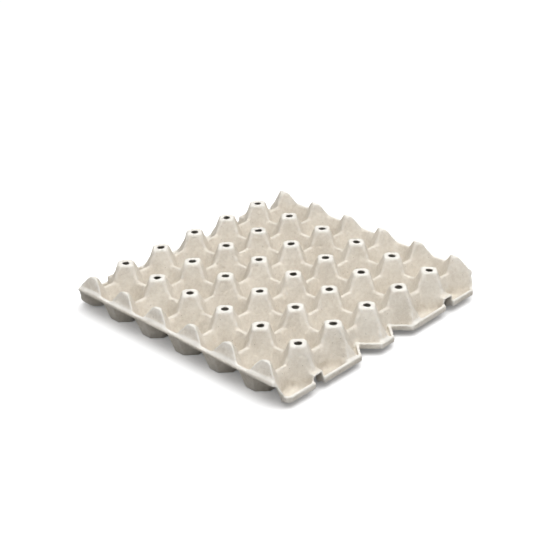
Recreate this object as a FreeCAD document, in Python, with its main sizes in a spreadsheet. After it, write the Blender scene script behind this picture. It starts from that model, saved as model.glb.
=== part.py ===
import FreeCAD, Part
import Sketcher
import os

# Moulded pulp egg tray: one thin sheet of pressed fibre, drawn down into a grid of eight-sided
# cups and up into hollow posts between them. Millimetres, +Z up, origin at the centre of the
# square that the cups stand on. Columns run along X, rows along Y.
# The tray is the difference of two forms: its top side, filled down to the table, and its
# under side, which is the same form with every face moved in by the wall.

document = FreeCAD.newDocument("pulp_egg_tray")
sheet = document.addObject("Spreadsheet::Sheet", "sizes")

sizes = [
    ("pitch", 48.0, "distance between neighbouring cups"),
    ("columns", 6, "cups along X"),
    ("rows", 5, "cups along Y"),
    ("wall", 1.8, "thickness of the pressed sheet"),
    ("post_height", 42.0, "top of the posts above the table"),
    ("saddle_height", 26.0, "top of the low ridge between two cups"),
    ("cup_flat", 14.0, "cup centre to the side that faces the next cup, at the cup's floor"),
    ("cup_corner", 13.3, "cup centre to the side that faces a post, at the cup's floor"),
    ("flat_draft", 0.335, "how far the flat side leans out for each mm of height"),
    ("corner_draft", 0.3175, "how far the post side leans out for each mm of height"),
    ("post_corner", 9.0, "post centre to its blunted corner, at the post's top"),
    ("post_spread", 0.53, "how far the blunted corner moves out for each mm of depth"),
    ("post_chamfer", 1.2, "worn edge round the top of a post"),
    ("vent_diameter", 7.2, "hole in the top of a post"),
    ("flange_height", 28.5, "top of the straight flange along the two toothed edges"),
    ("flange_edge", 4.5, "height of the thick edge of that flange"),
    ("flange_width", 3.0, "reach of that flange past the outer cells"),
    ("tooth_lean", 5.0, "how far a half post leans in between the flange and its top"),
    ("skirt_reach", 27.5, "outer row of posts to the edge of the skirt"),
    ("skirt_height", 13.5, "top of the rim along the skirt's edge"),
    ("rim_width", 3.2, "width of that rim"),
    ("gutter_floor", 8.8, "floor of the shallow hollows between the rim and the outer cups"),
    ("corner_cut_x", 13.0, "blunted corner of the tray, along X"),
    ("corner_cut_y", 11.5, "blunted corner of the tray, along Y"),
    ("notch_depth", 16.5, "finger notch in the skirt, inwards from its edge"),
    ("notch_half", 14.5, "half the width of a finger notch at the skirt's edge"),
    ("arch_height", 20.0, "top of the small arch through the rim below a post"),
    ("arch_half_foot", 8.0, "half the width of that arch at the rim's lower edge"),
    ("arch_half_top", 6.0, "half the width of that arch at its top"),
    ("arch_setback", 2.5, "arch's front edge, back from the edge of the skirt"),
    ("overrun", 5.0, "how far a cutting shape runs past what it cuts"),
]
sheet.set("A1", "size")
sheet.set("B1", "value")
sheet.set("C1", "what it is")
for row, (alias, value, meaning) in enumerate(sizes, start=2):
    sheet.set("A%d" % row, alias)
    sheet.set("B%d" % row, str(value))
    sheet.set("C%d" % row, meaning)
    sheet.setAlias("B%d" % row, alias)
document.recompute()


# Places worked out from the sizes, as expressions over the sheet's cells
firstCupX = "(-(sizes.columns - 1) / 2 * sizes.pitch)"
firstCupY = "(-(sizes.rows - 1) / 2 * sizes.pitch)"
outerPostX = "(sizes.columns / 2 * sizes.pitch)"
outerPostY = "(sizes.rows / 2 * sizes.pitch)"
halfLength = "(%s + sizes.flange_width)" % outerPostX
halfWidth = "(%s + sizes.skirt_reach)" % outerPostY
innerPostX = "((sizes.columns / 2 - 1) * sizes.pitch)"
rimFoot = "(sizes.gutter_floor - sizes.wall)"
flangeFoot = "(sizes.flange_height - sizes.flange_edge)"
archDraft = "((sizes.arch_half_foot - sizes.arch_half_top) / (sizes.arch_height - %s))" % rimFoot
toothDraft = "(sizes.tooth_lean / (sizes.post_height - sizes.flange_height))"


def slant(draft):
    """Sideways move of a leaning face for each mm that it moves along its own normal."""
    return "sqrt(1 + (%s)^2)" % draft


def cupFlatAt(level, growth):
    return "(sizes.cup_flat + ((%s) - sizes.wall) * sizes.flat_draft + (%s) * %s)" % (
        level, growth, slant("sizes.flat_draft"))


def cupCornerAt(level, growth):
    return "(sizes.cup_corner + ((%s) - sizes.wall) * sizes.corner_draft + (%s) * %s)" % (
        level, growth, slant("sizes.corner_draft"))


def postHalfAt(level, growth):
    """Half the width of a post across its faces: what the four cups round it leave standing."""
    return "(sizes.pitch / sqrt(2) - %s)" % cupCornerAt(level, growth)


def postCornerAt(level, growth):
    return "(sizes.post_corner + (sizes.post_height - (%s)) * sizes.post_spread - (%s) * %s)" % (
        level, growth, slant("sizes.post_spread"))


def toothAt(level, growth):
    """Outer face of the half posts along the toothed edges."""
    return "(%s - ((%s) - sizes.flange_height) * %s - (%s) * %s)" % (
        outerPostX, level, toothDraft, growth, slant(toothDraft))


def originItem(body, role):
    return [item for item in body.Origin.OriginFeatures if item.Role == role][0]


def attach(feature, body, role, offset):
    feature.AttachmentSupport = [(originItem(body, role), "")]
    feature.MapMode = "FlatFace"
    for axis, expression in zip("xyz", offset):
        if expression != "0":
            feature.setExpression("AttachmentOffset.Base." + axis, expression)


def sketchOn(body, role, name, offset=("0", "0", "0")):
    """Sketch on one of the body's own planes, moved along its own axes by three expressions."""
    sketch = body.newObject("Sketcher::SketchObject", name)
    attach(sketch, body, role, offset)
    return sketch


def polygon(sketch, corners):
    """Closed outline whose corners stand at pairs of expressions."""
    first = sketch.GeometryCount
    places = []
    for across, up in corners:
        x = float(sheet.evalExpression(across))
        y = float(sheet.evalExpression(up))
        places.append(FreeCAD.Vector(x, y, 0))
    count = len(places)
    for index in range(count):
        sketch.addGeometry(Part.LineSegment(places[index], places[(index + 1) % count]), False)
    for index in range(count):
        following = first + (index + 1) % count
        sketch.addConstraint(Sketcher.Constraint("Coincident", first + index, 2, following, 1))
    for index, (across, up) in enumerate(corners):
        line = first + index
        for kind, expression, value in (("DistanceX", across, places[index].x),
                                        ("DistanceY", up, places[index].y)):
            number = sketch.addConstraint(Sketcher.Constraint(kind, -1, 1, line, 1, value))
            sketch.setExpression("Constraints[%d]" % number, expression)


def mirroredPolygon(sketch, corners):
    """The same outline on both sides of the sketch's upright axis."""
    polygon(sketch, corners)
    polygon(sketch, [("-(%s)" % across, up) for across, up in reversed(corners)])


def frustum(body, kind, name, levels, halves, centre, turn):
    """Square frustum that stands upright: half widths at its lower and its upper level."""
    wedge = body.newObject("PartDesign::%sWedge" % kind, name)
    attach(wedge, body, "XZ_Plane", (centre[0], "0", "-(%s)" % centre[1]))
    wedge.AttachmentOffset = FreeCAD.Placement(
        wedge.AttachmentOffset.Base, FreeCAD.Rotation(FreeCAD.Vector(0, 1, 0), turn))
    wedge.setExpression("Ymin", levels[0])
    wedge.setExpression("Ymax", levels[1])
    for letter in "XZ":
        wedge.setExpression(letter + "min", "-(%s)" % halves[0])
        wedge.setExpression(letter + "max", halves[0])
        wedge.setExpression(letter + "2min", "-(%s)" % halves[1])
        wedge.setExpression(letter + "2max", halves[1])
    return wedge


def row(body, name, originals, role, spacing, count):
    """Repeat features along one of the body's own axes."""
    line = body.newObject("PartDesign::LinearPattern", name)
    line.Originals = originals
    line.Direction = (originItem(body, role), [""])
    line.Mode = "Spacing"
    line.setExpression("Offset", spacing)
    line.setExpression("Occurrences", count)
    body.Tip = line
    return line


def grid(body, name, originals, columnCount, rowCount, rowSpacing):
    """Repeat features along X and along Y."""
    line = row(body, name, originals, "X_Axis", "sizes.pitch", columnCount)
    line.Direction2 = (originItem(body, "Y_Axis"), [""])
    line.Mode2 = "Spacing"
    line.setExpression("Offset2", rowSpacing)
    line.setExpression("Occurrences2", rowCount)
    # Every step of the second direction takes the common spacing, the first one too
    line.Occurrences2 = int(sheet.evalExpression(rowCount))
    line.Spacings2 = [-1.0] * (line.Occurrences2 - 1)


def pad(body, name, sketch, length):
    feature = body.newObject("PartDesign::Pad", name)
    feature.Profile = sketch
    feature.Midplane = True
    feature.setExpression("Length", length)
    return feature


def pocket(body, name, sketch, length=None):
    """Cut a profile through the body to both sides, all the way or over a length."""
    feature = body.newObject("PartDesign::Pocket", name)
    feature.Profile = sketch
    feature.Midplane = True
    if length is None:
        feature.Type = "ThroughAll"
    else:
        feature.Type = "Length"
        feature.setExpression("Length", length)
    return feature


def trayOutline(inset):
    """Plan of the tray: blunted corners and two finger notches in each skirt."""
    edgeX = "(%s - (%s))" % (halfLength, inset)
    edgeY = "(%s - (%s))" % (halfWidth, inset)
    cutLength = "sqrt(sizes.corner_cut_x^2 + sizes.corner_cut_y^2)"
    # The blunted corner moves in by the inset too, so its ends slide along the two edges
    slideX = "((%s) * (sizes.corner_cut_y - %s) / sizes.corner_cut_x)" % (inset, cutLength)
    slideY = "((%s) * (sizes.corner_cut_x - %s) / sizes.corner_cut_y)" % (inset, cutLength)
    cornerY = "(%s - sizes.corner_cut_y + %s)" % (halfWidth, slideX)
    cornerX = "(%s - sizes.corner_cut_x + %s)" % (halfLength, slideY)
    notchSide = "sqrt(sizes.notch_half^2 + sizes.notch_depth^2)"
    notchTip = "(%s - sizes.notch_depth - (%s) * %s / sizes.notch_half)" % (
        halfWidth, inset, notchSide)
    notchMouth = "((%s - %s) * sizes.notch_half / sizes.notch_depth)" % (edgeY, notchTip)
    quarter = [
        (edgeX, cornerY),
        (cornerX, edgeY),
        ("(sizes.pitch / 2 + %s)" % notchMouth, edgeY),
        ("(sizes.pitch / 2)", notchTip),
        ("(sizes.pitch / 2 - %s)" % notchMouth, edgeY)]
    half = quarter + [("-(%s)" % x, y) for x, y in reversed(quarter)]
    return half + [("-(%s)" % x, "-(%s)" % y) for x, y in half]


def mould(name, growth, foot):
    """Solid form of one side of the sheet: every face stands growth below the top side."""
    body = document.addObject("PartDesign::Body", name)
    outside = growth == "0"
    postTop = "(sizes.post_height - (%s))" % growth
    ridge = "(sizes.saddle_height - (%s))" % growth
    flange = "sizes.flange_height" if outside else flangeFoot
    gutter = "(sizes.gutter_floor - (%s))" % growth
    above = "(sizes.post_height + sizes.overrun)"
    farX = "(%s + 8 * sizes.overrun)" % halfLength
    farY = "(%s + 8 * sizes.overrun)" % halfWidth

    # Low block, with a step to the height of the flanges along the toothed edges
    stepX = "(%s - sizes.pitch / 8)" % outerPostX
    profile = sketchOn(body, "XZ_Plane", name + "_profile")
    polygon(profile, [
        ("-" + halfLength, foot), (halfLength, foot), (halfLength, flange), (stepX, flange),
        (stepX, ridge), ("-" + stepX, ridge), ("-" + stepX, flange), ("-" + halfLength, flange)])
    pad(body, name + "_block", profile, "2 * %s" % halfWidth)

    # Square hollows of the cups; the posts fill their corners and leave eight sides
    cupTop = "(max(sizes.saddle_height; sizes.flange_height) + 1)"
    cupBottom = "sizes.wall" if outside else foot
    cup = frustum(body, "Subtractive", name + "_cup", (cupBottom, cupTop),
                  (cupFlatAt(cupBottom, growth), cupFlatAt(cupTop, growth)),
                  (firstCupX, firstCupY), 0)
    grid(body, name + "_cups", [cup], "sizes.columns", "sizes.rows", "sizes.pitch")
    outerRowY = "(%s + sizes.pitch / 2)" % outerPostY
    outer = frustum(body, "Subtractive", name + "_outer_hollow", (gutter, cupTop),
                    (cupFlatAt(gutter, growth), cupFlatAt(cupTop, growth)),
                    (firstCupX, "-" + outerRowY), 0)
    grid(body, name + "_outer_hollows", [outer], "sizes.columns", "2", "2 * " + outerRowY)

    # Posts at every corner of the cups, set cornerwise; outside, their top edge is worn
    firstPost = ("-" + outerPostX, "-" + outerPostY)
    shoulder = "(%s - sizes.post_chamfer)" % postTop if outside else postTop
    post = frustum(body, "Additive", name + "_post", (foot, shoulder),
                   (postHalfAt(foot, growth), postHalfAt(shoulder, growth)), firstPost, 45)
    posts = [post]
    if outside:
        cap = frustum(body, "Additive", name + "_cap", (shoulder, postTop),
                      (postHalfAt(shoulder, growth),
                       "(%s - sizes.post_chamfer)" % postHalfAt(shoulder, growth)), firstPost, 45)
        posts.append(cap)
    grid(body, name + "_posts", posts, "sizes.columns + 1", "sizes.rows + 1", "sizes.pitch")

    # Blunted corner of a post above a level: its distance from the post's centre on the way up
    def bluntEdge(level):
        edge = [(postCornerAt(level, growth), level)]
        if outside:
            flare = "(%s - %s)" % (above, shoulder)
            edge.append((postCornerAt(shoulder, growth), shoulder))
            edge.append(("(%s - %s)" % (postCornerAt(shoulder, growth), flare), above))
        else:
            edge.append((postCornerAt(above, growth), above))
        return edge

    # Gaps between the posts' blunted corners, down to the ridges
    gap = [("(sizes.pitch / 2 - %s)" % out, up) for out, up in bluntEdge(ridge)]
    gapOutline = gap + [("-(%s)" % across, up) for across, up in reversed(gap)]
    alongX = sketchOn(body, "YZ_Plane", name + "_gap_along_x", (firstCupY, "0", "0"))
    polygon(alongX, gapOutline)
    cut = pocket(body, name + "_gap_x", alongX, "2 * %s - sizes.pitch" % outerPostX)
    row(body, name + "_gaps_x", [cut], "Y_Axis", "sizes.pitch", "sizes.rows")
    alongY = sketchOn(body, "XZ_Plane", name + "_gap_along_y", (firstCupX, "0", "0"))
    polygon(alongY, gapOutline)
    cut = pocket(body, name + "_gap_y", alongY)
    row(body, name + "_gaps_y", [cut], "X_Axis", "sizes.pitch", "sizes.columns")

    # Slope from the outer posts down to the edge of the skirt
    skirtSide = sketchOn(body, "YZ_Plane", name + "_skirt_side")
    slope = [("(%s + %s)" % (outerPostY, out), up) for out, up in bluntEdge(gutter)]
    mirroredPolygon(skirtSide, [(farY, gutter), (farY, above)] + list(reversed(slope)))
    pocket(body, name + "_skirt", skirtSide)

    # Half posts along the toothed edges lean in above the flange
    toothSide = sketchOn(body, "XZ_Plane", name + "_tooth_side")
    mirroredPolygon(toothSide, [
        (toothAt(flange, growth), flange), (farX, flange), (farX, above),
        (toothAt(above, growth), above)])
    pocket(body, name + "_teeth", toothSide)

    # Outline in plan
    trim = sketchOn(body, "XY_Plane", name + "_outline")
    polygon(trim, [(farX, farY), ("-" + farX, farY), ("-" + farX, "-" + farY), (farX, "-" + farY)])
    polygon(trim, trayOutline(growth))
    pocket(body, name + "_trim", trim)
    return body


def addArches(body, name, growth, foot, front):
    """Small arches through the skirt, below the posts next to the corners."""
    back = "(%s + sizes.pitch / 4)" % outerPostY
    top = "(sizes.arch_height - (%s))" % growth
    narrowing = "(%s) * %s" % (growth, slant(archDraft))
    halfTop = "(sizes.arch_half_top + (%s) * %s - %s)" % (growth, archDraft, narrowing)
    halfFoot = "(%s + (%s - (%s)) * %s)" % (halfTop, top, foot, archDraft)
    profile = sketchOn(body, "XZ_Plane", name + "_profile", (innerPostX, "0", back))
    polygon(profile, [
        (halfFoot, foot), (halfTop, top), ("-" + halfTop, top), ("-" + halfFoot, foot)])
    arch = body.newObject("PartDesign::Pad", name + "_arch")
    arch.Profile = profile
    arch.setExpression("Length", "%s - %s" % (front, back))
    fourfold = body.newObject("PartDesign::MultiTransform", name + "_arches")
    fourfold.Originals = [arch]
    mirrors = []
    for role in ("YZ_Plane", "XZ_Plane"):
        mirror = body.newObject("PartDesign::Mirrored", "%s_mirror_%s" % (name, role[:2]))
        mirror.MirrorPlane = (originItem(body, role), [""])
        mirrors.append(mirror)
    fourfold.Transformations = mirrors
    body.Tip = fourfold


tray = mould("egg_tray", "0", "0")

# Rim along the edge of the skirt; along the toothed edges it lies inside the flange
rimPlan = sketchOn(tray, "XY_Plane", "rim_plan", ("0", "0", rimFoot))
polygon(rimPlan, trayOutline("0"))
polygon(rimPlan, trayOutline("sizes.rim_width"))
rim = tray.newObject("PartDesign::Pad", "rim")
rim.Profile = rimPlan
rim.setExpression("Length", "sizes.skirt_height - %s" % rimFoot)
addArches(tray, "arch_top", "0", "0", "(%s - sizes.arch_setback)" % halfWidth)

# Open space below the rim and the gutter
rimInner = "(%s - sizes.notch_depth - sizes.overrun)" % halfWidth
farY = "(%s + sizes.overrun)" % halfWidth
farX = "(%s + sizes.overrun)" % halfLength
below = "(-sizes.overrun)"
rimSide = sketchOn(tray, "YZ_Plane", "rim_side")
mirroredPolygon(rimSide, [
    (rimInner, below), (farY, below), (farY, rimFoot), (rimInner, rimFoot)])
pocket(tray, "below_rim", rimSide)

# Open space below the flanges, out from the sloping sides of the outer cups
outerCupX = "(%s - sizes.pitch / 2)" % outerPostX
clear = "0.1 * sizes.wall"
openFootX = "(%s + %s + %s)" % (outerCupX, cupFlatAt(rimFoot, "sizes.wall"), clear)
openTopX = "(%s + %s + %s)" % (outerCupX, cupFlatAt(flangeFoot, "sizes.wall"), clear)
flangeSide = sketchOn(tray, "XZ_Plane", "flange_side")
mirroredPolygon(flangeSide, [
    (openFootX, below), (farX, below), (farX, flangeFoot), (openTopX, flangeFoot),
    (openFootX, rimFoot)])
pocket(tray, "below_flange", flangeSide)

# Vent hole in the top of every whole post
ventPlace = sketchOn(tray, "XY_Plane", "vent_place",
                     ("-" + innerPostX, "-" + outerPostY, "sizes.post_height"))
ventPlace.addGeometry(Part.Circle(FreeCAD.Vector(0, 0, 0), FreeCAD.Vector(0, 0, 1), 3), False)
ventPlace.addConstraint(Sketcher.Constraint("Coincident", 0, 3, -1, 1))
diameter = ventPlace.addConstraint(Sketcher.Constraint("Diameter", 0, 6))
ventPlace.setExpression("Constraints[%d]" % diameter, "sizes.vent_diameter")
vent = tray.newObject("PartDesign::Pocket", "vent")
vent.Profile = ventPlace
vent.Type = "Length"
vent.setExpression("Length", "sizes.wall + 1")
grid(tray, "vents", [vent], "sizes.columns - 1", "sizes.rows + 1", "sizes.pitch")

# The under side is taken out last
underside = mould("underside", "sizes.wall", "(-sizes.overrun)")
addArches(underside, "arch_under", "sizes.wall", "(-sizes.overrun)",
          "(%s + sizes.overrun)" % halfWidth)
hollow = tray.newObject("PartDesign::Boolean", "hollow")
hollow.setObjects([underside])
hollow.Type = "Cut"
tray.Tip = hollow

document.recompute()
for item in document.Objects:
    if "Invalid" in item.State or "Error" in item.State:
        raise RuntimeError("%s did not come out: %s" % (item.Name, item.State))
if tray.Shape.isNull() or not tray.Shape.isValid() or len(tray.Shape.Solids) != 1:
    raise RuntimeError("%s is not one sound solid" % tray.Label)
box = tray.Shape.BoundBox
print("tray %.2f x %.2f x %.2f mm, %.1f cm3, %d faces" % (
    box.XLength, box.YLength, box.ZLength, tray.Shape.Volume / 1000, len(tray.Shape.Faces)))
os.makedirs("parts", exist_ok=True)
tray.Shape.exportStep("parts/egg_tray.step")
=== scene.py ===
import math

import bpy
import numpy
from mathutils import Matrix, Vector, noise


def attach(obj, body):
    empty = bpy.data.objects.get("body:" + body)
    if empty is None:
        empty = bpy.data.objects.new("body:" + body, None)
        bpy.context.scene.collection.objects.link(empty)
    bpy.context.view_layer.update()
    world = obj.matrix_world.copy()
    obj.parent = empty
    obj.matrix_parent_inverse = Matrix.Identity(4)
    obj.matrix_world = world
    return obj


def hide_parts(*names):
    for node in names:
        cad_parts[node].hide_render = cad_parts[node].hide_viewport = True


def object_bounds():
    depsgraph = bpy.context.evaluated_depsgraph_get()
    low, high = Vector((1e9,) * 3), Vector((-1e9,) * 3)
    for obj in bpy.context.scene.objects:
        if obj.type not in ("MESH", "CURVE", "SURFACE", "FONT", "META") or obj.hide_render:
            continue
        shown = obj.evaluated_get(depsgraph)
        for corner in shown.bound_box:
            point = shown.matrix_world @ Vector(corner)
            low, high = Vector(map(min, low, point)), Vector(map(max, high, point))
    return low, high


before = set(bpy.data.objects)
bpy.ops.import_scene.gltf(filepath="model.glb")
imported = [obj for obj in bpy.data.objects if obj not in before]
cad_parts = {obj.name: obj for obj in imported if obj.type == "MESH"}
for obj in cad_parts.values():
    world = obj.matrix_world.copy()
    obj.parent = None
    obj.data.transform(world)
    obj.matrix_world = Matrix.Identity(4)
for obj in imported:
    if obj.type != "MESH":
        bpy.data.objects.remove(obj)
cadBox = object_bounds()
mm = 0.001

# Moulded pulp egg tray, seen from above its near corner on a white studio floor


def selectOnly(item):
    bpy.ops.object.select_all(action="DESELECT")
    item.select_set(True)
    bpy.context.view_layer.objects.active = item


def applyModifier(item, kind, name, **settings):
    selectOnly(item)
    modifier = item.modifiers.new(name, kind)
    for setting, value in settings.items():
        setattr(modifier, setting, value)
    bpy.ops.object.modifier_apply(modifier=modifier.name)


# The sheet: the pressed form, softened as wet fibre leaves it

sheetLook = {
    "grain": 0.95 * mm,        # size of the cells that the form is rebuilt from
    "softening": 0.6,          # how much each pass rounds the edges
    "softeningPasses": 4,
    "poolPasses": 40,          # how far wet fibre fills the dips of the upper side
    "poolStep": 0.8,
    "upperSide": 0.15,         # faces that look up more than this are the upper side
    "gutterDrop": 5.5 * mm,    # how far the skirt's hollows sink from the rim to the posts
    "gutterPosts": (25.5 * mm, 21 * mm),    # in from the edge: no drop, whole drop by the posts
    "gutterRim": (3 * mm, 15 * mm),         # in from the edge: no drop, whole drop by the rim
    "gutterSides": (4 * mm, 16 * mm),       # the same in from the flanges
    "gutterNotch": (3.5 * mm, 12 * mm),     # and away from a notch
    "gutterHeight": (1 * mm, 5 * mm),       # and down from the rim
    "rimTop": 13.5 * mm,
    "rimBelow": 2.5 * mm,      # what counts as the rim, below and above its top
    "rimAbove": 1.6 * mm,
    "rimWidth": 20 * mm,
    "flangeEdge": 3.6 * mm,    # the same for the thick edge of a flange, in from the side
    "flangeHeights": (20 * mm, 31 * mm),
    "notchPlace": (24 * mm, 131 * mm, 14.5 * mm, 16.5 * mm),   # tip x, tip y, half width, depth
    "poolTop": 37 * mm,        # no filling above this height, so the holes stay open
    "beadPasses": 4,           # rounding of the thick edges of flange and skirt
    "beadStep": 0.6,
    "faceShare": 0.16,         # share of the faces kept after the edges are round
    "seed": 7,                 # of the unevenness, so that it is the same each time
    "sag": 1.1 * mm,           # slow waves along the rims
    "sagLength": 70 * mm,
    "sagFrom": 12 * mm,        # lower parts, which stand on the table, sag less
    "lump": 0.4 * mm,          # unevenness of the wall
    "lumpLength": 9 * mm,
    "burr": 0.30 * mm,         # finer unevenness, seen along the edges
    "burrLength": 3.2 * mm,
    "standHeight": 4 * mm,     # points below this keep nearer to the table
    "wornAndLitEdge": (0.02, 0.15),  # bend of an edge at which it starts to be pale, and is pale: worn, with painted highlight
    "litTop": 41.2 * mm,      # painted highlight: faces above this height are pale as well
    "litTopBlend": 0.5 * mm,
    "litRim": (0.3, 0.8),     # painted highlight: how much a thick edge looks up where it starts to be pale, and is
    "bendPasses": 3,
}


def meshArrays(mesh):
    count = len(mesh.vertices)
    places = numpy.zeros(count * 3)
    mesh.vertices.foreach_get("co", places)
    normals = numpy.zeros(count * 3)
    mesh.vertices.foreach_get("normal", normals)
    ends = numpy.zeros(len(mesh.edges) * 2, dtype=int)
    mesh.edges.foreach_get("vertices", ends)
    first, second = ends.reshape(-1, 2).T
    degree = numpy.bincount(ends, minlength=count) + 1e-12
    return places.reshape(-1, 3), normals.reshape(-1, 3), first, second, degree


# Mean of each point's neighbours
def neighbourMean(values, first, second, degree):
    near = numpy.bincount(first, values[second], len(degree))
    near += numpy.bincount(second, values[first], len(degree))
    return near / degree


# Inner corners of the upper side fill up and get round, flat and outer parts stay
def poolFibre(sheet, look):
    mesh = sheet.data
    places, normals, first, second, degree = meshArrays(mesh)
    upper = (normals[:, 2] > look["upperSide"]) & (places[:, 2] < look["poolTop"])
    for turn in range(look["poolPasses"]):
        rise = -(places * normals).sum(1)
        for axis in range(3):
            mean = neighbourMean(places[:, axis], first, second, degree)
            rise += mean * normals[:, axis]
        step = numpy.where(upper, numpy.maximum(rise, 0), 0) * look["poolStep"]
        places += step[:, None] * normals
    mesh.vertices.foreach_set("co", places.ravel())
    mesh.update()
    print("inner corners filled")


# Points on the thick edges of the flanges and on the rim of the skirt
def onBead(places, look):
    edgeX, edgeY = cadBox[1][0], cadBox[1][1]
    x, y, z = abs(places[:, 0]), abs(places[:, 1]), places[:, 2]
    low, high = look["flangeHeights"]
    bead = (x > edgeX - look["flangeEdge"]) & (z > low) & (z < high)
    rim = (y > edgeY - look["rimWidth"]) & (z > look["rimTop"] - look["rimBelow"])
    return bead | rim & (z < look["rimTop"] + look["rimAbove"])


# The thick edges are round, like a bead
def roundBeads(sheet, look):
    mesh = sheet.data
    places, _, first, second, degree = meshArrays(mesh)
    bead = onBead(places, look)
    for turn in range(look["beadPasses"]):
        for axis in range(3):
            mean = neighbourMean(places[:, axis], first, second, degree)
            places[:, axis] += numpy.where(bead, look["beadStep"] * (mean - places[:, axis]), 0)
    mesh.vertices.foreach_set("co", places.ravel())
    mesh.update()
    print("thick edges rounded")


def ease(values, start, end):
    share = numpy.clip((values - start) / (end - start), 0, 1)
    return share * share * (3 - 2 * share)


# The hollows along the skirt slope down inwards, both faces of the sheet together
def sinkGutter(sheet, look):
    mesh = sheet.data
    places = meshArrays(mesh)[0]
    x, y, z = abs(places[:, 0]), abs(places[:, 1]), places[:, 2]
    edgeX, edgeY = cadBox[1][0], cadBox[1][1]
    tipX, tipY, half, depth = look["notchPlace"]
    fromNotch = (abs(x - tipX) * depth - (y - tipY) * half) / math.hypot(half, depth)
    postNear, postFar = look["gutterPosts"]
    rimNear, rimFar = look["gutterRim"]
    sideNear, sideFar = look["gutterSides"]
    high, low = look["gutterHeight"]
    share = ease(z, look["rimTop"] - high, look["rimTop"] - low)
    share *= ease(y, edgeY - postNear, edgeY - postFar) * ease(y, edgeY - rimNear, edgeY - rimFar)
    share *= ease(fromNotch, *look["gutterNotch"]) * ease(x, edgeX - sideNear, edgeX - sideFar)
    places[:, 2] -= look["gutterDrop"] * share
    mesh.vertices.foreach_set("co", places.ravel())
    mesh.update()
    print("hollows along the skirt sunk")


def rebuildForm(look):
    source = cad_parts["egg_tray"]
    mesh = source.data.copy()
    mesh.name = "pulpSheet"
    sheet = bpy.data.objects.new("pulpSheet", mesh)
    bpy.context.collection.objects.link(sheet)
    selectOnly(sheet)
    bpy.ops.object.mode_set(mode="EDIT")
    bpy.ops.mesh.select_all(action="SELECT")
    bpy.ops.mesh.remove_doubles(threshold=0.00001)
    bpy.ops.object.mode_set(mode="OBJECT")
    applyModifier(sheet, "REMESH", "grain", mode="VOXEL", voxel_size=look["grain"],
                  use_smooth_shade=True)
    applyModifier(sheet, "SMOOTH", "soften", factor=look["softening"],
                  iterations=look["softeningPasses"])
    sinkGutter(sheet, look)
    poolFibre(sheet, look)
    roundBeads(sheet, look)
    applyModifier(sheet, "DECIMATE", "thin", ratio=look["faceShare"])
    print("sheet rebuilt with", len(sheet.data.polygons), "faces")
    return sheet


def addUnevenness(sheet, look):
    noise.seed_set(look["seed"])
    low, high = cadBox
    for vertex in sheet.data.vertices:
        place = vertex.co
        slow = noise.noise(place / look["sagLength"])
        outer = max(abs(place.x) / high[0], abs(place.y) / high[1])
        lift = look["sag"] * slow * min(1, place.z / look["sagFrom"]) * outer ** 6
        lump = noise.noise_vector(place / look["lumpLength"]) * look["lump"]
        lump += noise.noise_vector(place / look["burrLength"]) * look["burr"]
        lump.z *= min(1, place.z / look["standHeight"])
        moved = place + lump + Vector((0, 0, lift))
        vertex.co = [min(max(moved[axis], low[axis]), high[axis]) for axis in range(3)]
    print("unevenness added")


# How far each point stands out from the points round it: edges and rims do, dips don't. Edges
# that stand out are pale, worn and with painted highlight; faces that look up on the post tops
# and the thick edges are pale as painted highlight; dips are darker as painted shade
def markWearAndHighlight(sheet, look):
    mesh = sheet.data
    places, normals, first, second, degree = meshArrays(mesh)
    step = places[second] - places[first]
    step /= numpy.linalg.norm(step, axis=1, keepdims=True) + 1e-12
    bend = numpy.bincount(first, -(normals[first] * step).sum(1), len(places))
    bend += numpy.bincount(second, (normals[second] * step).sum(1), len(places))
    bend /= degree
    for smoothing in range(look["bendPasses"]):
        bend = 0.5 * bend + 0.5 * neighbourMean(bend, first, second, degree)
    start, full = look["wornAndLitEdge"]
    wornAndLit = numpy.clip((bend - start) / (full - start), 0, 1)
    # painted highlight: faces on the post tops that look up are pale
    top = numpy.clip((places[:, 2] - look["litTop"]) / look["litTopBlend"], 0, 1)
    top *= normals[:, 2] > 0.5
    # painted highlight: the thick edges are pale where they look up
    rim = onBead(places, look) * ease(normals[:, 2], *look["litRim"])
    wornAndLit = numpy.maximum(numpy.maximum(wornAndLit, top), rim)
    # painted shade: points in dips get darker
    dipShade = numpy.clip((-bend - start) / (full - start), 0, 1)
    for name, values in (("wornAndLit", wornAndLit), ("dipShade", dipShade)):
        layer = mesh.attributes.new(name, "FLOAT", "POINT")
        layer.data.foreach_set("value", values.astype(numpy.float32))
    print("wear marked, mean", round(float(wornAndLit.mean()), 3), round(float(dipShade.mean()), 3))


sheet = rebuildForm(sheetLook)
addUnevenness(sheet, sheetLook)
markWearAndHighlight(sheet, sheetLook)
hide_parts("egg_tray")
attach(sheet, "root")
print("sheet made")


# Finish of the pulp

pulpLook = {
    "body": (0.91, 0.85, 0.75, 1),
    "cloudy": (0.70, 0.63, 0.53, 1),
    # pale fibre strands, worn edges, and painted highlight on the edges, post tops and rim tops
    "pale": (0.93, 0.905, 0.85, 1),
    # colour of the painted shade in the dips
    "paintedShade": (0.42, 0.37, 0.30, 1),
    "fleck": (0.30, 0.25, 0.19, 1),
    "cloudScale": 42,          # patches per metre
    "mottleScale": 300,
    "fibreScale": 620,
    "grainScale": 1500,
    "fleckScale": 330,
    "fleckSize": 0.16,
    "fleckShare": 0.10,
    "cloudShare": 0.9,         # strength of each colour over the ones below it
    "fibreShare": 0.4,
    "dipShadeShare": 0.3,
    # painted shade in the dips
    "fleckDepth": 0.45,
    # pale worn edges with painted highlight, and painted highlight on the post tops and rim tops
    "wornAndLitShare": 0.8,
    "specular": 0.2,
    "roughness": 0.92,
    "roughSpread": (-0.08, 0.06),
    "relief": 1.3 * mm,
    "reliefStrength": 0.8,
}


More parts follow.
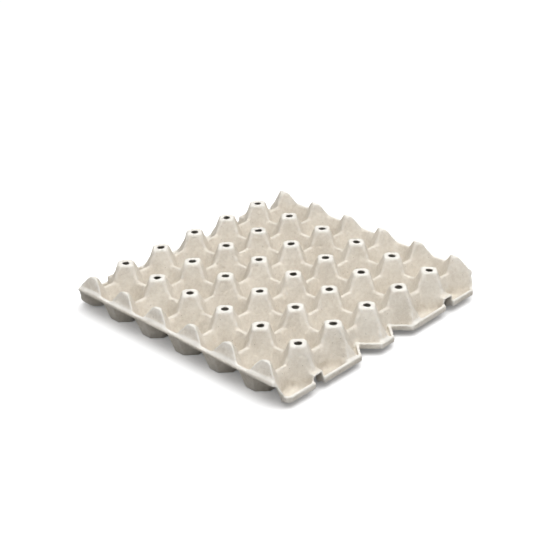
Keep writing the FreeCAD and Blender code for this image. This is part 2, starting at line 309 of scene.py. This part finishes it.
def makeFibreGroup():
    group = bpy.data.node_groups.new("pressedFibre", "ShaderNodeTree")
    face = group.interface
    face.new_socket("Vector", in_out="INPUT", socket_type="NodeSocketVector")
    for name in ("Cloud Scale", "Mottle Scale", "Fibre Scale", "Grain Scale", "Fleck Scale",
                 "Fleck Size", "Fleck Share"):
        face.new_socket(name, in_out="INPUT", socket_type="NodeSocketFloat")
    for name in ("Cloud", "Fibre", "Fleck", "Height"):
        face.new_socket(name, in_out="OUTPUT", socket_type="NodeSocketFloat")
    nodes = group.nodes
    links = group.links
    inside = nodes.new("NodeGroupInput")
    outside = nodes.new("NodeGroupOutput")

    def texture(kind, scaleName, **values):
        node = nodes.new(kind)
        for name, value in values.items():
            node.inputs[name].default_value = value
        links.new(inside.outputs["Vector"], node.inputs["Vector"])
        links.new(inside.outputs[scaleName], node.inputs["Scale"])
        return node

    def ramp(source, low, high, toLow=0.0, toHigh=1.0):
        node = nodes.new("ShaderNodeMapRange")
        node.inputs["From Min"].default_value = low
        node.inputs["From Max"].default_value = high
        node.inputs["To Min"].default_value = toLow
        node.inputs["To Max"].default_value = toHigh
        links.new(source, node.inputs["Value"])
        return node.outputs["Result"]

    def calc(operation, first, second):
        node = nodes.new("ShaderNodeMath")
        node.operation = operation
        for slot, value in enumerate((first, second)):
            if isinstance(value, (int, float)):
                node.inputs[slot].default_value = value
            else:
                links.new(value, node.inputs[slot])
        return node.outputs["Value"]

    cloud = texture("ShaderNodeTexNoise", "Cloud Scale", Detail=2.0, Roughness=0.5)
    mottle = texture("ShaderNodeTexNoise", "Mottle Scale", Detail=4.0, Roughness=0.6)
    grain = texture("ShaderNodeTexNoise", "Grain Scale", Detail=2.0, Roughness=0.6)
    strands = texture("ShaderNodeTexNoise", "Fibre Scale", Detail=2.0, Roughness=0.6,
                      Distortion=1.6)
    # A strand runs where the noise crosses its middle value
    offset = calc("SUBTRACT", strands.outputs["Fac"], 0.5)
    strand = ramp(calc("ABSOLUTE", offset, 0), 0.0, 0.05, 1.0, 0.0)
    cells = texture("ShaderNodeTexVoronoi", "Fleck Scale", Randomness=1.0)
    tint = nodes.new("ShaderNodeSeparateColor")
    links.new(cells.outputs["Color"], tint.inputs["Color"])
    chosen = calc("LESS_THAN", tint.outputs["Red"], inside.outputs["Fleck Share"])
    small = calc("LESS_THAN", cells.outputs["Distance"], inside.outputs["Fleck Size"])
    links.new(calc("MULTIPLY", chosen, small), outside.inputs["Fleck"])
    patches = calc("ADD", calc("MULTIPLY", cloud.outputs["Fac"], 0.5),
                   calc("MULTIPLY", mottle.outputs["Fac"], 0.5))
    links.new(ramp(patches, 0.36, 0.64), outside.inputs["Cloud"])
    links.new(strand, outside.inputs["Fibre"])
    height = calc("ADD", calc("MULTIPLY", mottle.outputs["Fac"], 0.9),
                  calc("MULTIPLY", strand, 0.35))
    height = calc("ADD", height, calc("MULTIPLY", grain.outputs["Fac"], 0.35))
    links.new(height, outside.inputs["Height"])
    return group


def makePulp(look):
    material = bpy.data.materials.new("pulp")
    material.use_nodes = True
    nodes = material.node_tree.nodes
    links = material.node_tree.links
    shader = nodes["Principled BSDF"]
    shader.inputs["Specular IOR Level"].default_value = look["specular"]
    place = nodes.new("ShaderNodeTexCoord")
    fibre = nodes.new("ShaderNodeGroup")
    fibre.node_tree = makeFibreGroup()
    links.new(place.outputs["Object"], fibre.inputs["Vector"])
    for name, key in (("Cloud Scale", "cloudScale"), ("Mottle Scale", "mottleScale"),
                      ("Fibre Scale", "fibreScale"), ("Grain Scale", "grainScale"),
                      ("Fleck Scale", "fleckScale"), ("Fleck Size", "fleckSize"),
                      ("Fleck Share", "fleckShare")):
        fibre.inputs[name].default_value = look[key]

    def mask(name, strength):
        layer = nodes.new("ShaderNodeAttribute")
        layer.attribute_name = name
        return scaled(layer.outputs["Fac"], strength)

    def scaled(source, strength):
        level = nodes.new("ShaderNodeMath")
        level.operation = "MULTIPLY"
        level.inputs[1].default_value = strength
        links.new(source, level.inputs[0])
        return level.outputs["Value"]

    def blend(under, color, factor):
        mix = nodes.new("ShaderNodeMix")
        mix.data_type = "RGBA"
        if isinstance(under, tuple):
            mix.inputs["A"].default_value = under
        else:
            links.new(under, mix.inputs["A"])
        mix.inputs["B"].default_value = color
        links.new(factor, mix.inputs["Factor"])
        return mix.outputs["Result"]

    color = blend(look["body"], look["cloudy"],
                  scaled(fibre.outputs["Cloud"], look["cloudShare"]))
    color = blend(color, look["pale"], scaled(fibre.outputs["Fibre"], look["fibreShare"]))
    # painted shade: darker in the dips
    color = blend(color, look["paintedShade"], mask("dipShade", look["dipShadeShare"]))
    color = blend(color, look["fleck"], scaled(fibre.outputs["Fleck"], look["fleckDepth"]))
    # paler worn edges with painted highlight, and painted highlight on the post tops and the tops
    # of the thick edges
    color = blend(color, look["pale"], mask("wornAndLit", look["wornAndLitShare"]))
    links.new(color, shader.inputs["Base Color"])
    rough = nodes.new("ShaderNodeMapRange")
    smoother, rougher = look["roughSpread"]
    rough.inputs["To Min"].default_value = look["roughness"] + smoother
    rough.inputs["To Max"].default_value = look["roughness"] + rougher
    links.new(fibre.outputs["Cloud"], rough.inputs["Value"])
    links.new(rough.outputs["Result"], shader.inputs["Roughness"])
    bump = nodes.new("ShaderNodeBump")
    bump.inputs["Strength"].default_value = look["reliefStrength"]
    bump.inputs["Distance"].default_value = look["relief"]
    links.new(fibre.outputs["Height"], bump.inputs["Height"])
    links.new(bump.outputs["Normal"], shader.inputs["Normal"])
    return material


sheet.data.materials.clear()
sheet.data.materials.append(makePulp(pulpLook))
print("pulp finish made")


# White studio: floor, soft light from above and a little in front, camera

studio = {
    "floorSize": 12.0,
    "floorSeen": (0.93, 0.93, 0.93, 1),
    "floorBounce": (0.34, 0.34, 0.34, 1),
    "floorGlow": 0.12,
    "keySize": 1.5,
    "keyPower": 21,
    "keyPlace": (-0.15, -0.40, 1.45),
    "skyTop": 0.85,
    "skyEdge": 0.04,
    "skyHeights": (0.15, 0.55),    # height of the sky at which it is weak, and strong
}


# What the camera sees directly, in a mirror finish or through glass
def seenRays(nodes, links):
    rays = nodes.new("ShaderNodeLightPath")
    total = rays.outputs["Is Camera Ray"]
    for kind in ("Is Glossy Ray", "Is Transmission Ray"):
        larger = nodes.new("ShaderNodeMath")
        larger.operation = "MAXIMUM"
        links.new(total, larger.inputs[0])
        links.new(rays.outputs[kind], larger.inputs[1])
        total = larger.outputs["Value"]
    return total


def makeFloor(look):
    bpy.ops.object.select_all(action="DESELECT")
    bpy.ops.mesh.primitive_plane_add(size=look["floorSize"], location=(0, 0, 0))
    floor = bpy.context.object
    floor.name = "studioFloor"
    material = bpy.data.materials.new("whitePaper")
    material.use_nodes = True
    nodes = material.node_tree.nodes
    links = material.node_tree.links
    nodes.clear()
    seen = seenRays(nodes, links)
    output = nodes.new("ShaderNodeOutputMaterial")
    diffuse = nodes.new("ShaderNodeBsdfDiffuse")
    paper = nodes.new("ShaderNodeMix")
    paper.data_type = "RGBA"
    paper.inputs["A"].default_value = look["floorBounce"]
    paper.inputs["B"].default_value = look["floorSeen"]
    links.new(seen, paper.inputs["Factor"])
    links.new(paper.outputs["Result"], diffuse.inputs["Color"])
    glow = nodes.new("ShaderNodeEmission")
    level = nodes.new("ShaderNodeMath")
    level.operation = "MULTIPLY"
    level.inputs[1].default_value = look["floorGlow"]
    add = nodes.new("ShaderNodeAddShader")
    links.new(seen, level.inputs[0])
    links.new(level.outputs["Value"], glow.inputs["Strength"])
    links.new(diffuse.outputs["BSDF"], add.inputs[0])
    links.new(glow.outputs["Emission"], add.inputs[1])
    links.new(add.outputs["Shader"], output.inputs["Surface"])
    floor.data.materials.append(material)


# Soft air light, strong overhead and weak near the floor; white where it is seen
def makeWorld(look):
    world = bpy.data.worlds.new("studioAir")
    bpy.context.scene.world = world
    world.use_nodes = True
    nodes = world.node_tree.nodes
    links = world.node_tree.links
    air = nodes["Background"]
    air.inputs["Color"].default_value = (1, 1, 1, 1)
    place = nodes.new("ShaderNodeTexCoord")
    axes = nodes.new("ShaderNodeSeparateXYZ")
    links.new(place.outputs["Generated"], axes.inputs["Vector"])
    rise = nodes.new("ShaderNodeMapRange")
    rise.interpolation_type = "SMOOTHSTEP"
    rise.inputs["From Min"].default_value = look["skyHeights"][0]
    rise.inputs["From Max"].default_value = look["skyHeights"][1]
    rise.inputs["To Min"].default_value = look["skyEdge"]
    rise.inputs["To Max"].default_value = look["skyTop"]
    links.new(axes.outputs["Z"], rise.inputs["Value"])
    level = nodes.new("ShaderNodeMix")
    level.data_type = "FLOAT"
    level.inputs["B"].default_value = 1
    links.new(seenRays(nodes, links), level.inputs["Factor"])
    links.new(rise.outputs["Result"], level.inputs["A"])
    links.new(level.outputs["Result"], air.inputs["Strength"])


def makeKey(look):
    lamp = bpy.data.lights.new("softBox", "AREA")
    lamp.shape = "SQUARE"
    lamp.size = look["keySize"]
    lamp.energy = look["keyPower"]
    holder = bpy.data.objects.new("softBox", lamp)
    bpy.context.collection.objects.link(holder)
    holder.location = look["keyPlace"]
    holder.rotation_euler = (-holder.location).to_track_quat("-Z", "Y").to_euler()


makeFloor(studio)
makeWorld(studio)
makeKey(studio)

cameraLook = {
    "azimuth": -45.639,        # degrees, 0 looks along +Y
    "elevation": 27.807,
    "roll": -1.299,
    "distance": 1447.06 * mm,
    "aim": (34.75 * mm, 32.84 * mm, 4.5 * mm),
    "focalPixels": 1375.41,    # focal length in pixels of the 554 pixel frame
    "framePixels": 554,
}


def makeCamera(look):
    turn = math.radians(look["azimuth"])
    rise = math.radians(look["elevation"])
    back = Vector((math.sin(turn) * math.cos(rise), -math.cos(turn) * math.cos(rise),
                   math.sin(rise)))
    right = Vector((math.cos(turn), math.sin(turn), 0))
    up = back.cross(right)
    roll = math.radians(look["roll"])
    tiltedRight = right * math.cos(roll) + up * math.sin(roll)
    tiltedUp = up * math.cos(roll) - right * math.sin(roll)
    data = bpy.data.cameras.new("viewer")
    data.sensor_width = 36
    data.lens = look["focalPixels"] / look["framePixels"] * data.sensor_width
    data.clip_end = 50
    viewer = bpy.data.objects.new("viewer", data)
    bpy.context.collection.objects.link(viewer)
    facing = Matrix((tiltedRight, tiltedUp, back)).transposed().to_4x4()
    place = Vector(look["aim"]) + back * look["distance"]
    viewer.matrix_world = Matrix.Translation(place) @ facing
    bpy.context.scene.camera = viewer


makeCamera(cameraLook)
bpy.context.scene.view_settings.view_transform = "Standard"
